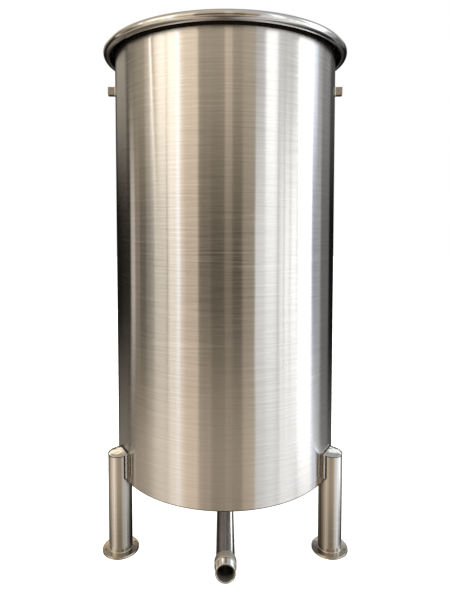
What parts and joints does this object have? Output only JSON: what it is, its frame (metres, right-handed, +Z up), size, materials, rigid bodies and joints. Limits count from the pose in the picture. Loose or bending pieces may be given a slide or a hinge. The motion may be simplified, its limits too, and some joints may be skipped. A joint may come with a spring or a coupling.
{
  "type": "vertical storage tank",
  "caption": "Open-topped cylindrical steel storage tank with a curled rim, standing on tube legs with flanged feet, drained through a pipe that points to the front.",
  "frame": {"origin": "on the tank's axis at floor level, under the centre of the feet", "axes": "+Z up along the tank's axis; -Y to the front, the way the outlet points; +X to the right"},
  "size_m": [0.77, 0.8366, 1.52],
  "materials": {
    "brushed_shell": "fine brushing round the tank",
    "polished_rim": "polished",
    "brushed_bottom": "brushed",
    "polished_tube": "polished stainless steel",
    "mirror_cap": "mirror polished stainless steel",
    "satin_flange": "satin",
    "weld_bead": "rippled weld",
    "satin_lug": "satin",
    "satin_collar": "satin",
    "polished_nipple": "polished stainless steel"
  },
  "bodies": {
    "root": {"tank_shell": "brushed_shell", "tank_rim": "polished_rim", "tank_bottom": "brushed_bottom", "leg_tube_left": "polished_tube", "leg_tube_right": "polished_tube", "leg_tube_rear": "polished_tube", "leg_cap_left": "mirror_cap", "leg_cap_right": "mirror_cap", "leg_cap_rear": "mirror_cap", "foot_flange_left": "satin_flange", "foot_flange_right": "satin_flange", "foot_flange_rear": "satin_flange", "leg_weld_left_a": "weld_bead", "leg_weld_left_b": "weld_bead", "leg_weld_right_a": "weld_bead", "leg_weld_right_b": "weld_bead", "leg_weld_rear_a": "weld_bead", "leg_weld_rear_b": "weld_bead", "lug_left": "satin_lug", "lug_right": "satin_lug", "drain_neck": "polished_tube", "drain_elbow": "polished_tube", "drain_pipe": "polished_tube", "outlet_collar": "satin_collar", "outlet_nipple": "polished_nipple"}
  },
  "joints": []
}
